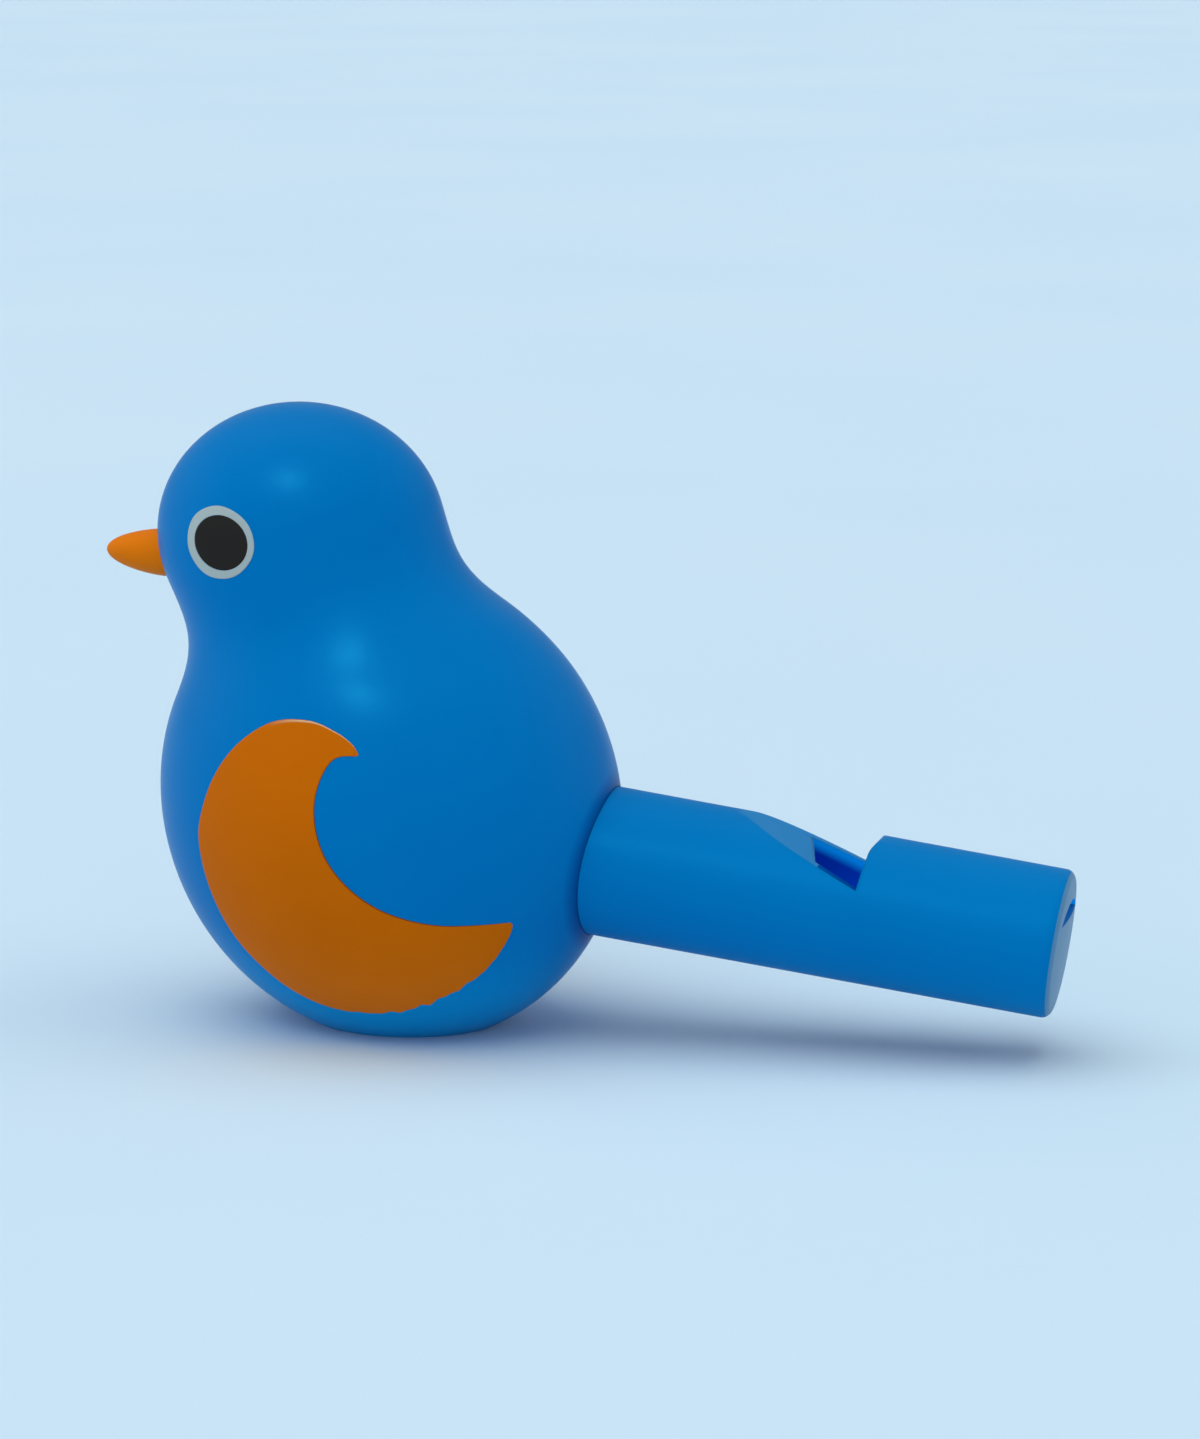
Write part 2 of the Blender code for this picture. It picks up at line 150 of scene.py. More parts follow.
SMOOTH_ANGLE = math.radians(50)
TUBE_SMOOTH_ANGLE = math.radians(28)
SPLINE_STEPS = 12
FLOOR_SIZE = 6.0

WHITE = (1.0, 1.0, 1.0, 1.0)
BLACK = (0.0, 0.0, 0.0, 1.0)
BLUE_SHEEN = (0.02, 0.70, 1.0, 1.0)
ORANGE_SHEEN = (1.0, 0.50, 0.10, 1.0)
# Painted light: colours are lightened towards the ground below this height, standing in for light that the
# underside misses
PAINTED_LIGHT_HEIGHT = 0.016
BLUE_PAINTED_LOW_LIGHT = (1.0, 1.68, 1.34, 1.0)
TUBE_PAINTED_LOW_LIGHT = (1.0, 1.20, 1.0, 1.0)
ORANGE_PAINTED_LOW_LIGHT = (1.19, 1.25, 4.2, 1.0)
# Painted shade round the tail where it meets the body: its width and its darkest and middle tones
CREASE_SHADE_WIDTH = 0.0022
CREASE_SHADE_DARK = (1.0, 0.38, 0.55, 1.0)
CREASE_SHADE_MIDDLE = (1.0, 0.58, 0.72, 1.0)
# Painted shade along the wing's hollow edge and a painted highlight on its upper edge
WING_EDGE_SHADE = (0.30, 0.32, 0.8, 1.0)
WING_EDGE_HIGHLIGHT = (0.62, 0.36, 0.20, 1.0)
# Painted light in the tail's hollow under the window: dim and bright glow colours and where the glow rises
PAINTED_GLOW_DIM = (0.0, 0.006, 0.03, 1.0)
PAINTED_GLOW_BRIGHT = (0.0, 0.15, 0.36, 1.0)
PAINTED_GLOW_FROM = 0.0022
PAINTED_GLOW_TO = 0.0009
FLOOR_TINT = (0.51, 0.67, 0.82, 1.0)
FLOOR_LIGHT_TINT = (0.54, 0.69, 0.84, 1.0)


# Camera

def add_camera():
    yaw = math.radians(13.5)
    elevation = math.radians(11.5)
    distance = 0.55
    target = Vector((0.02669, 0.0, 0.03927))
    away = Vector((math.sin(yaw) * math.cos(elevation), -math.cos(yaw) * math.cos(elevation),
                   math.sin(elevation)))
    camera = bpy.data.cameras.new("camera")
    camera.sensor_fit = "VERTICAL"
    camera.sensor_height = 36.0
    camera.lens = 112.32
    obj = bpy.data.objects.new("camera", camera)
    bpy.context.scene.collection.objects.link(obj)
    obj.location = target + away * distance
    obj.rotation_euler = (-away).to_track_quat("-Z", "Y").to_euler()
    bpy.context.scene.camera = obj


add_camera()


# The bird's skin

def smooth_min(a, b, blend):
    """The smaller of two distances, with a smooth passage between them."""
    overlap = max(blend - abs(a - b), 0.0) / blend
    return min(a, b) - overlap * overlap * blend / 4


def egg_distance(x, z, half_length, half_height):
    return (math.hypot(x / half_length, z / half_height) - 1.0) * min(half_length, half_height)


def bird_distance(x, z, body_half, head_half, head_forward, blend):
    body_z = z - BODY_MIDDLE
    body_x = x + BODY_LEAN * body_z / (BODY_HEIGHT / 2) * (head_forward / HEAD_FORWARD)
    body = egg_distance(body_x, body_z, body_half, BODY_HEIGHT / 2)
    head = egg_distance(x + head_forward, z - HEAD_MIDDLE, head_half, HEAD_HEIGHT / 2)
    return smooth_min(body, head, blend)


def edge_of(z, start, towards, outline):
    """Where the outline is crossed at height z, searched from a start inside towards -1 or 1."""
    inner = start
    outer = start + towards * BODY_LENGTH
    for _ in range(EDGE_HALVINGS):
        middle = (inner + outer) / 2
        if bird_distance(middle, z, *outline) < 0.0:
            inner = middle
        else:
            outer = middle
    return inner


def section(z):
    """Middle, half length and half width of the skin's horizontal section at height z."""
    rise = min(max((z - BODY_MIDDLE) / HEAD_RISE, 0.0), 1.0)
    start = -HEAD_FORWARD * rise
    profile = (BODY_LENGTH / 2, HEAD_LENGTH / 2, HEAD_FORWARD)
    front = edge_of(z, start, -1, profile + (THROAT_BLEND,))
    back = edge_of(z, start, 1, profile + (NAPE_BLEND,))
    half_width = edge_of(z, 0.0, 1, (BODY_WIDTH / 2, HEAD_WIDTH / 2, 0.0, CHEEK_BLEND))
    return (front + back) / 2, (back - front) / 2, half_width


def level_height(share):
    return CROWN * (1 - math.cos(math.pi * share)) / 2


TABLE_HEIGHTS = np.array([level_height(i / TABLE_ROWS) for i in range(TABLE_ROWS + 1)])
TABLE = np.array([section(min(z, CROWN - 1e-7)) for z in TABLE_HEIGHTS])


def table_at(z):
    """The section at height z, read from the table."""
    return [np.interp(z, TABLE_HEIGHTS, TABLE[:, i]) for i in range(3)]


def skin_value(x, y, z):
    """Below zero inside the skin, zero on it, above zero outside."""
    middle, length, width = table_at(z)
    return ((x - middle) / length) ** 2 + (y / width) ** 2 - 1.0


def skin_normal(x, y, z):
    step = NORMAL_STEP
    normal = Vector((skin_value(x + step, y, z) - skin_value(x - step, y, z),
                     skin_value(x, y + step, z) - skin_value(x, y - step, z),
                     skin_value(x, y, z + step) - skin_value(x, y, z - step)))
    return normal.normalized()


def on_skin(x, z, side, height):
    """The point of the skin that a side view shows at x and z, moved out along the skin's normal."""
    middle, length, width = table_at(z)
    y = side * width * math.sqrt(max(1.0 - ((x - middle) / length) ** 2, 0.0))
    return Vector((x, y, z)) + skin_normal(x, y, z) * height


# Helpers for meshes

def new_collection(name):
    collection = bpy.data.collections.new(name)
    bpy.context.scene.collection.children.link(collection)
    return collection


PIECES = new_collection("pieces")
TOOLS = new_collection("cutters")


def make_object(name, mesh, collection=PIECES):
    obj = bpy.data.objects.new(name, mesh)
    collection.objects.link(obj)
    return obj


def mesh_from(name, verts, faces):
    mesh = bpy.data.meshes.new(name)
    mesh.from_pydata([tuple(v) for v in verts], [], faces)
    mesh.update()
    return mesh


def outward(mesh):
    model = bmesh.new()
    model.from_mesh(mesh)
    bmesh.ops.recalc_face_normals(model, faces=model.faces)
    model.to_mesh(mesh)
    model.free()


def add_cut(obj, tool):
    modifier = obj.modifiers.new(tool.name, "BOOLEAN")
    modifier.operation = "DIFFERENCE"
    modifier.solver = "EXACT"
    modifier.object = tool


def applied(obj):
    """Makes the modifiers' result the object's own mesh, in world place."""
    bpy.context.view_layer.update()
    evaluated = obj.evaluated_get(bpy.context.evaluated_depsgraph_get())
    mesh = bpy.data.meshes.new_from_object(evaluated)
    mesh.transform(obj.matrix_world)
    obj.modifiers.clear()
    obj.data = mesh
    obj.matrix_world = Matrix.Identity(4)
    return obj


def drop(*objects):
    for obj in objects:
        bpy.data.objects.remove(obj, do_unlink=True)


def prism(name, outline, low, high, matrix):
    """A flat outline between two heights over its own plane."""
    count = len(outline)
    verts = [matrix @ Vector((x, y, z)) for z in (low, high) for x, y in outline]
    faces = [tuple(range(count)), tuple(range(2 * count - 1, count - 1, -1))]
    faces += [(i, (i + 1) % count, count + (i + 1) % count, count + i) for i in range(count)]
    mesh = mesh_from(name, verts, faces)
    outward(mesh)
    return make_object(name, mesh, TOOLS)


def turned_mesh(name, profile, matrix, sides):
    """A profile of (radius, height) points turned about local Z. Points on the axis make one vertex."""
    verts = []
    rings = []
    for radius, height in profile:
        if radius < 1e-9:
            rings.append([len(verts)] * sides)
            verts.append(matrix @ Vector((0.0, 0.0, height)))
            continue
        ring = []
        for i in range(sides):
            turn = 2 * math.pi * i / sides
            ring.append(len(verts))
            verts.append(matrix @ Vector((radius * math.cos(turn), radius * math.sin(turn), height)))
        rings.append(ring)
    faces = []
    for low, high in zip(rings, rings[1:]):
        for i in range(sides):
            j = (i + 1) % sides
            corners = [low[i], low[j], high[j], high[i]]
            face = [v for n, v in enumerate(corners) if v not in corners[:n]]
            if len(face) > 2:
                faces.append(face)
    mesh = mesh_from(name, verts, faces)
    outward(mesh)
    return mesh


def arc(centre, radius, start, end, steps):
    points = []
    for i in range(steps + 1):
        turn = start + (end - start) * i / steps
        points.append((centre[0] + radius * math.cos(turn), centre[1] + radius * math.sin(turn)))
    return points


def spline(points, count):
    """Points at equal steps of length along a smooth line through the given ones."""
    line = []
    for i in range(len(points) - 1):
        before = Vector(points[max(i - 1, 0)])
        here = Vector(points[i])
        after = Vector(points[i + 1])
        beyond = Vector(points[min(i + 2, len(points) - 1)])
        for step in range(SPLINE_STEPS):
            t = step / SPLINE_STEPS
            slow = (after - before) * t
            bend = (before * 2 - here * 5 + after * 4 - beyond) * t * t
            twist = (here * 3 - before - after * 3 + beyond) * t * t * t
            line.append((here * 2 + slow + bend + twist) / 2)
    line.append(Vector(points[-1]))
    run = np.cumsum([0.0] + [(b - a).length for a, b in zip(line, line[1:])])
    shares = np.linspace(0.0, run[-1], count)
    xs = np.interp(shares, run, [p.x for p in line])
    ys = np.interp(shares, run, [p.y for p in line])
    return list(zip(xs, ys))


def tube_matrix():
    """Local Z runs along the tail towards the mouth, local X points up from its axis."""
    along = Vector((math.cos(TUBE_DROOP), 0.0, -math.sin(TUBE_DROOP)))
    up = Vector((math.sin(TUBE_DROOP), 0.0, math.cos(TUBE_DROOP)))
    turn = Matrix((up, along.cross(up), along)).transposed().to_4x4()
    return Matrix.Translation((0.0, 0.0, BODY_MIDDLE - TUBE_DROP)) @ turn


def tube_side_matrix():
    """Puts an outline's own x along the tail and its own y up from the tail's axis."""
    return tube_matrix() @ Matrix(((0, 1, 0), (0, 0, 1), (1, 0, 0))).to_4x4()


# Materials

def new_material(name):
    material = bpy.data.materials.new(name)
    material.use_nodes = True
    nodes = material.node_tree.nodes
    return material, nodes, material.node_tree.links, nodes["Principled BSDF"]


def noise(nodes, links, coordinates, scale, detail, roughness=0.5):
    node = nodes.new("ShaderNodeTexNoise")
    node.inputs["Scale"].default_value = scale
    node.inputs["Detail"].default_value = detail
    node.inputs["Roughness"].default_value = roughness
    links.new(coordinates, node.inputs["Vector"])
    return node.outputs["Fac"]


def ramp(nodes, links, factor, stops):
    node = nodes.new("ShaderNodeValToRGB")
    while len(node.color_ramp.elements) < len(stops):
        node.color_ramp.elements.new(0.5)
    for element, (place, colour) in zip(node.color_ramp.elements, stops):
        element.position = place
        element.color = colour
    links.new(factor, node.inputs["Fac"])
    return node.outputs["Color"]


def mapped(nodes, links, factor, low, high):
    node = nodes.new("ShaderNodeMapRange")
    node.inputs["To Min"].default_value = low
    node.inputs["To Max"].default_value = high
    links.new(factor, node.inputs["Value"])
    return node.outputs["Result"]


def share_between(nodes, links, value, low, high):
    """A node that gives 0 at low, 1 at high, and in between for what lies between."""
    node = nodes.new("ShaderNodeMapRange")
    node.inputs["From Min"].default_value = low
    node.inputs["From Max"].default_value = high
    links.new(value, node.inputs["Value"])
    return node


def vector_sum(nodes, links, operation, vector, fixed=None):
    """A node that works on a vector, with a fixed second one where the operation takes two."""
    node = nodes.new("ShaderNodeVectorMath")
    node.operation = operation
    if fixed is not None:
        node.inputs[1].default_value = fixed
    links.new(vector, node.inputs[0])
    return node


def bumped(nodes, links, shader, parts, edge_radius):
    """Bump from (height, strength, distance) parts, over a rounding of the sharp edges."""
    normal = None
    if edge_radius > 0.0:
        bevel = nodes.new("ShaderNodeBevel")
        bevel.samples = 6
        bevel.inputs["Radius"].default_value = edge_radius
        normal = bevel.outputs["Normal"]
    for height, strength, distance in parts:
        node = nodes.new("ShaderNodeBump")
        node.inputs["Strength"].default_value = strength
        node.inputs["Distance"].default_value = distance
        links.new(height, node.inputs["Height"])
        if normal is not None:
            links.new(normal, node.inputs["Normal"])
        normal = node.outputs["Normal"]
    links.new(normal, shader.inputs["Normal"])


def multiplied(nodes, links, colour, factor):
    mix = nodes.new("ShaderNodeMix")
    mix.data_type = "RGBA"
    mix.blend_type = "MULTIPLY"
    mix.inputs["Factor"].default_value = 1.0
    links.new(colour, mix.inputs["A"])
    links.new(factor, mix.inputs["B"])
    return mix.outputs["Result"]


def painted_low_light(nodes, links, colour, place, low):
    """Painted light: lightens a colour towards the ground, standing in for light that the low,
    downward-facing surfaces miss.
    """
    split = nodes.new("ShaderNodeSeparateXYZ")
    links.new(place, split.inputs["Vector"])
    share = share_between(nodes, links, split.outputs["Z"], 0.0, PAINTED_LIGHT_HEIGHT)
    share.interpolation_type = "SMOOTHSTEP"
    painted_light = ramp(nodes, links, share.outputs["Result"], [(0.0, low), (1.0, WHITE)])
    return multiplied(nodes, links, colour, painted_light)


def painted_crease_shade(nodes, links, colour, place):
    """Painted shade: darkens the body softly round the tail, by the distance from the tail's axis, where
    shade gathers in the corner against the tail.
    """
    axis = tube_matrix()
    along = axis.to_3x3() @ Vector((0.0, 0.0, 1.0))
    offset = vector_sum(nodes, links, "SUBTRACT", place, axis.translation)
    across = vector_sum(nodes, links, "CROSS_PRODUCT", offset.outputs["Vector"], along)
    distance = vector_sum(nodes, links, "LENGTH", across.outputs["Vector"])
    ahead = vector_sum(nodes, links, "DOT_PRODUCT", offset.outputs["Vector"], along)
    behind = nodes.new("ShaderNodeMath")
    behind.operation = "LESS_THAN"
    behind.inputs[1].default_value = 0.0
    links.new(ahead.outputs["Value"], behind.inputs[0])
    apart = nodes.new("ShaderNodeMath")
    apart.operation = "ADD"
    links.new(distance.outputs["Value"], apart.inputs[0])
    links.new(behind.outputs["Value"], apart.inputs[1])
    share = share_between(nodes, links, apart.outputs["Value"], TUBE_ROOT_RADIUS,
                          TUBE_ROOT_RADIUS + CREASE_SHADE_WIDTH)
    stops = [(0.0, CREASE_SHADE_DARK), (0.35, CREASE_SHADE_MIDDLE), (1.0, WHITE)]
    painted_shade = ramp(nodes, links, share.outputs["Result"], stops)
    return multiplied(nodes, links, colour, painted_shade)


def plastic(name, tint, light_tint, roughness, specular, edge_radius=0.0, waviness=0.1, crease_shade=False,
            sheen=WHITE, low=WHITE):
    """A moulded plastic: faint clouds of colour and gloss, fine grain, and a slow waviness of the surface;
    painted light towards the ground and painted shade round the tail where asked for.
    """
    material, nodes, links, shader = new_material(name)
    place = nodes.new("ShaderNodeTexCoord").outputs["Object"]
    clouds = noise(nodes, links, place, 60.0, 3.0)
    colour = ramp(nodes, links, clouds, [(0.25, tint), (0.75, light_tint)])
    # Painted light towards the ground, when asked for
    if low != WHITE:
        colour = painted_low_light(nodes, links, colour, place, low)
    # Painted shade round the tail, when asked for
    if crease_shade:
        colour = painted_crease_shade(nodes, links, colour, place)
    links.new(colour, shader.inputs["Base Color"])
    shader.inputs["Specular Tint"].default_value = sheen
    patches = noise(nodes, links, place, 220.0, 4.0, 0.6)
    links.new(mapped(nodes, links, patches, roughness - 0.05, roughness + 0.06), shader.inputs["Roughness"])
    shader.inputs["Specular IOR Level"].default_value = specular
    grain = noise(nodes, links, place, 2500.0, 2.0)
    waves = noise(nodes, links, place, 90.0, 1.0)
    bumped(nodes, links, shader, [(waves, waviness, 0.0006), (grain, 0.05, 0.00004)], edge_radius)
    return material


def painted_wing_edge_light(material):
    """A dark line of painted shade along the wing's hollow edge and a pale stripe of painted highlight on its
    upper edge by the shoulder tip.
    """
    nodes = material.node_tree.nodes
    links = material.node_tree.links
    shader = nodes["Principled BSDF"]
    place = nodes.new("ShaderNodeAttribute")
    place.attribute_name = "wing_place"
    split = nodes.new("ShaderNodeSeparateXYZ")
    links.new(place.outputs["Vector"], split.inputs["Vector"])
    colour = shader.inputs["Base Color"].links[0].from_socket
    # Painted shade: a dark line along the hollow edge
    line = ramp(nodes, links, split.outputs["Y"], [(0.93, WHITE), (0.985, WING_EDGE_SHADE)])
    colour = multiplied(nodes, links, colour, line)
    # Painted highlight: a pale stripe on the upper edge by the shoulder tip
    highlight_along = [(0.0, BLACK), (0.02, WHITE), (0.10, WHITE), (0.15, BLACK)]
    highlight_across = [(0.05, BLACK), (0.09, WHITE), (0.13, WHITE), (0.17, BLACK)]
    along = ramp(nodes, links, split.outputs["X"], highlight_along)
    across = ramp(nodes, links, split.outputs["Y"], highlight_across)
    painted_highlight = multiplied(nodes, links, along, across)
    mix = nodes.new("ShaderNodeMix")
    mix.data_type = "RGBA"
    links.new(painted_highlight, mix.inputs["Factor"])
    links.new(colour, mix.inputs["A"])
    mix.inputs["B"].default_value = WING_EDGE_HIGHLIGHT
    links.new(mix.outputs["Result"], shader.inputs["Base Color"])


def painted_inside_glow(material, towards, bright_from, bright_to):
    """Painted light: a glow on the hollow under the window, brighter the further along a direction, standing
    in for light falling in through the window.
    """
    nodes = material.node_tree.nodes
    links = material.node_tree.links
    shader = nodes["Principled BSDF"]
    place = nodes.new("ShaderNodeTexCoord").outputs["Object"]
    along = vector_sum(nodes, links, "DOT_PRODUCT", place, towards)
    share = share_between(nodes, links, along.outputs["Value"], bright_from, bright_to)
    glow = ramp(nodes, links, share.outputs["Result"], [(0.0, PAINTED_GLOW_DIM), (1.0, PAINTED_GLOW_BRIGHT)])
    links.new(glow, shader.inputs["Emission Color"])
    shader.inputs["Emission Strength"].default_value = 1.0


def give(obj, material):
    obj.data.materials.clear()
    obj.data.materials.append(material)


# The body's blue carries painted shade round the tail and painted light towards the ground
BLUE = plastic("blue_moulded", (0.0, 0.146, 0.435, 1.0), (0.0, 0.156, 0.455, 1.0), 0.33, 0.055, 0.00025,
               crease_shade=True, sheen=BLUE_SHEEN, low=BLUE_PAINTED_LOW_LIGHT)
# The tail's blue carries painted light towards the ground
BLUE_TUBE = plastic("blue_tail", (0.0, 0.156, 0.450, 1.0), (0.0, 0.166, 0.470, 1.0), 0.42, 0.035, 0.0008,
                    sheen=BLUE_SHEEN, low=TUBE_PAINTED_LOW_LIGHT)
# Painted light: a brighter, deeper blue in the tail's hollow, standing in for light bouncing inside it
BLUE_INSIDE_PAINTED_LIGHT = plastic("blue_inside_painted_light", (0.0, 0.10, 0.66, 1.0), (0.0, 0.11, 0.70, 1.0), 0.5, 0.02,
                      sheen=BLUE_SHEEN)
# The mouth's end is glossier, and its greyer blue is painted reflection
BLUE_END_PAINTED_REFLECTION = plastic("blue_mouth_end_painted_reflection", (0.05, 0.19, 0.36, 1.0), (0.07, 0.21, 0.38, 1.0), 0.42, 0.45)
# The wings' orange carries painted light towards the ground, and painted shade and a painted highlight along
# its edges
ORANGE = plastic("orange_enamel", (0.48, 0.110, 0.001, 1.0), (0.53, 0.122, 0.002, 1.0), 0.40, 0.05,
                 sheen=ORANGE_SHEEN, low=ORANGE_PAINTED_LOW_LIGHT)
# Painted reflection: a lighter, greyer blue with little gloss on the ramp, standing in for its reflection
BLUE_RAMP_PAINTED_REFLECTION = plastic("blue_ramp_painted_reflection", (0.015, 0.190, 0.47, 1.0), (0.020, 0.200, 0.49, 1.0), 0.45, 0.02, 0.0008,
                    sheen=BLUE_SHEEN)
# Painted shade: a darker blue on the wall beside the window, so that it merges with the shaded hollow
BLUE_SHADE = plastic("blue_window_side_painted_shade", (0.0, 0.06, 0.30, 1.0), (0.0, 0.07, 0.32, 1.0), 0.5, 0.0)
BEAK_ORANGE = plastic("orange_beak", (0.62, 0.150, 0.003, 1.0), (0.67, 0.165, 0.005, 1.0), 0.42, 0.05,
                      sheen=ORANGE_SHEEN)
RING = plastic("eye_ring_paint", (0.30, 0.38, 0.40, 1.0), (0.34, 0.41, 0.42, 1.0), 0.6, 0.1)
PUPIL = plastic("pupil_paint", (0.009, 0.010, 0.011, 1.0), (0.014, 0.012, 0.010, 1.0), 0.62, 0.1)


# Pieces

def register(obj, node, material):
    """Gives a piece its material and tells the frame which solid it stands for."""
    give(obj, material)
    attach(obj, "root")
    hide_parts(node)


def skin_mesh(name, levels, sides):
    """The loft of the skin's level sections, closed by the flat base and a point at the crown."""
    verts = []
    faces = []
    for level in range(levels):
        z = level_height(level / levels)
        middle, length, width = section(z)
        for side in range(sides):
            turn = 2 * math.pi * side / sides
            verts.append((middle + length * math.cos(turn), width * math.sin(turn), z))
    for level in range(levels - 1):
        for side in range(sides):
            after = (side + 1) % sides
            low = level * sides
            high = low + sides
            faces.append((low + side, low + after, high + after, high + side))
    crown = len(verts)
    verts.append((-HEAD_FORWARD, 0.0, CROWN))
    last = (levels - 1) * sides
    for side in range(sides):
        faces.append((last + side, last + (side + 1) % sides, crown))
    faces.append(tuple(range(sides - 1, -1, -1)))
    return mesh_from(name, verts, faces)


def shade_from_skin(obj):
    """Smooth shading that follows the skin's own formula, with crisp walls where the skin was cut."""
    mesh = obj.data
    mesh.shade_smooth()
    normals = [None] * len(mesh.loops)
    for face in mesh.polygons:
        centre = face.center
        flat_base = centre.z < 1e-6
        near_crown = centre.z > CROWN - CROWN_CAP
        for loop in face.loop_indices:
            place = mesh.vertices[mesh.loops[loop].vertex_index].co
            normal = face.normal
            if near_crown:
                tilt = Vector((place.x + HEAD_FORWARD, place.y, 0.0))
                normal = Vector((tilt.x / (HEAD_LENGTH / 2) ** 2, tilt.y / (HEAD_WIDTH / 2) ** 2,
                                 (place.z - HEAD_MIDDLE) / (HEAD_HEIGHT / 2) ** 2)).normalized()
            elif not flat_base:
                curved = skin_normal(place.x, place.y, max(place.z, 0.00005))
                if curved.dot(face.normal) > FOLLOWS_SKIN:
                    normal = curved
            normals[loop] = normal
    mesh.normals_split_custom_set([tuple(n) for n in normals])


def jagged(points):
    """Leaves the paint's edge a little uneven low on the tail side."""
    last = len(points) - 1
    moved = []
    for i, (x, z) in enumerate(points):
        share = i / last
        strength = max(0.0, 1.0 - abs(share - 0.82) / 0.14) * JAG
        moved.append((x, z + strength * (math.sin(150 * share) + math.sin(263 * share + 1.0))))
    return moved


def wing_grid(along, across):
    """Rows of side-view points across the wing, from its shoulder tip to its tail tip."""
    outer = jagged(spline([(x / MM_PER_METRE, z / MM_PER_METRE) for x, z in WING_OUTER], along))
    inner = spline([(x / MM_PER_METRE, z / MM_PER_METRE) for x, z in WING_INNER], along)
    rows = []
    for (ox, oz), (ix, iz) in zip(outer, inner):
        row = []
        for i in range(across):
            share = (1 - math.cos(math.pi * i / (across - 1))) / 2
            row.append((ox + (ix - ox) * share, oz + (iz - oz) * share))
        rows.append(row)
    return rows


def edge_height(distance, crest, rounding):
    """Height over the skin of a surface with a rounded edge, at a distance in from that edge."""
    inward = min(distance / rounding, 1.0)
    return crest - rounding * (1 - math.sqrt(1 - (1 - inward) ** 2))


def closed_sheet(name, rows, side, rim):
    """A sheet on the skin over a grid of side-view points, with rounded edges, closed behind."""
    along = len(rows)
    across = len(rows[0])
    edge = np.array(rim)
    verts = []
    for row in rows:
        for x, z in row:
            gap = float(np.min(np.hypot(edge[:, 0] - x, edge[:, 1] - z)))
            verts.append(on_skin(x, z, side, edge_height(gap, WING_CREST, WING_ROUNDING)))
    for row in rows:
        for x, z in row:
            verts.append(on_skin(x, z, side, -INLAY_DEPTH))
    back = along * across
    faces = []
    for i in range(along - 1):
        for j in range(across - 1):
            a = i * across + j
            faces.append((a, a + 1, a + across + 1, a + across))
            faces.append((back + a, back + a + across, back + a + across + 1, back + a + 1))
    border = [j for j in range(across)] + [i * across + across - 1 for i in range(1, along)]
    border += [(along - 1) * across + j for j in range(across - 2, -1, -1)]
    border += [i * across for i in range(along - 2, 0, -1)]
    for a, b in zip(border, border[1:] + border[:1]):
        faces.append((b, a, back + a, back + b))
    mesh = mesh_from(name, verts, faces)
    outward(mesh)
    mesh.shade_smooth()
    mesh.set_sharp_from_angle(angle=SMOOTH_ANGLE)
    shares = mesh.attributes.new("wing_place", "FLOAT_VECTOR", "POINT")
    for i in range(2 * back):
        row, column = divmod(i % back, across)
        shares.data[i].vector = (row / (along - 1), column / (across - 1), 0.0)
    return make_object(name, mesh)


def wing_rim(rows):
    """All points round the wing's edge."""
    rim = list(rows[0]) + [row[-1] for row in rows] + list(reversed(rows[-1]))
    return rim + [row[0] for row in reversed(rows)]


def eye_point(radius_x, radius_z, turn, middle_x, middle_z):
    """A point of the leaning ellipse round an eye's middle."""
    x = radius_x * math.cos(turn)
    z = radius_z * math.sin(turn)
    return (middle_x + x * math.cos(EYE_LEAN) - z * math.sin(EYE_LEAN),
            middle_z + x * math.sin(EYE_LEAN) + z * math.cos(EYE_LEAN))


def lump(turn):
    """How far the painted ring's outline leaves a true ellipse."""
    return 0.00005 * math.sin(3 * turn + 0.8) + 0.00002 * math.sin(7 * turn + 2.1)


def polar_piece(name, side, inner, outer, rings, crest, rounding):
    """A disc or ring on the skin, between an inner and an outer edge, each a side-view point for a turn."""
    sides = EYE_SIDES
    verts = []
    for layer in (0, 1):
        for k in range(rings + 1):
            share = math.sin(math.pi / 2 * k / rings)
            for i in range(sides):
                turn = 2 * math.pi * i / sides
                ax, az = inner(turn)
                bx, bz = outer(turn)
                x = ax + (bx - ax) * share
                z = az + (bz - az) * share
                width = math.dist((ax, az), (bx, bz))
                gap = (1 - share) * width
                height = edge_height(gap, crest, rounding) if layer == 0 else -INLAY_DEPTH
                verts.append(on_skin(x, z, side, height))
    back = (rings + 1) * sides
    faces = []
    for k in range(rings):
        for i in range(sides):
            j = (i + 1) % sides
            a, b = k * sides + i, k * sides + j
            faces.append((a, b, b + sides, a + sides))
            faces.append((back + a, back + a + sides, back + b + sides, back + b))
    for i in range(sides):
        j = (i + 1) % sides
        last = rings * sides
        faces.append((last + i, last + j, back + last + j, back + last + i))
        faces.append((i, back + i, back + j, j))
    mesh = mesh_from(name, verts, faces)
    model = bmesh.new()
    model.from_mesh(mesh)
    bmesh.ops.remove_doubles(model, verts=model.verts, dist=1e-7)
    bmesh.ops.dissolve_degenerate(model, dist=1e-8, edges=model.edges)
    bmesh.ops.recalc_face_normals(model, faces=model.faces)
    model.to_mesh(mesh)
    model.free()
    mesh.shade_smooth()
    mesh.set_sharp_from_angle(angle=SMOOTH_ANGLE)
    return make_object(name, mesh)


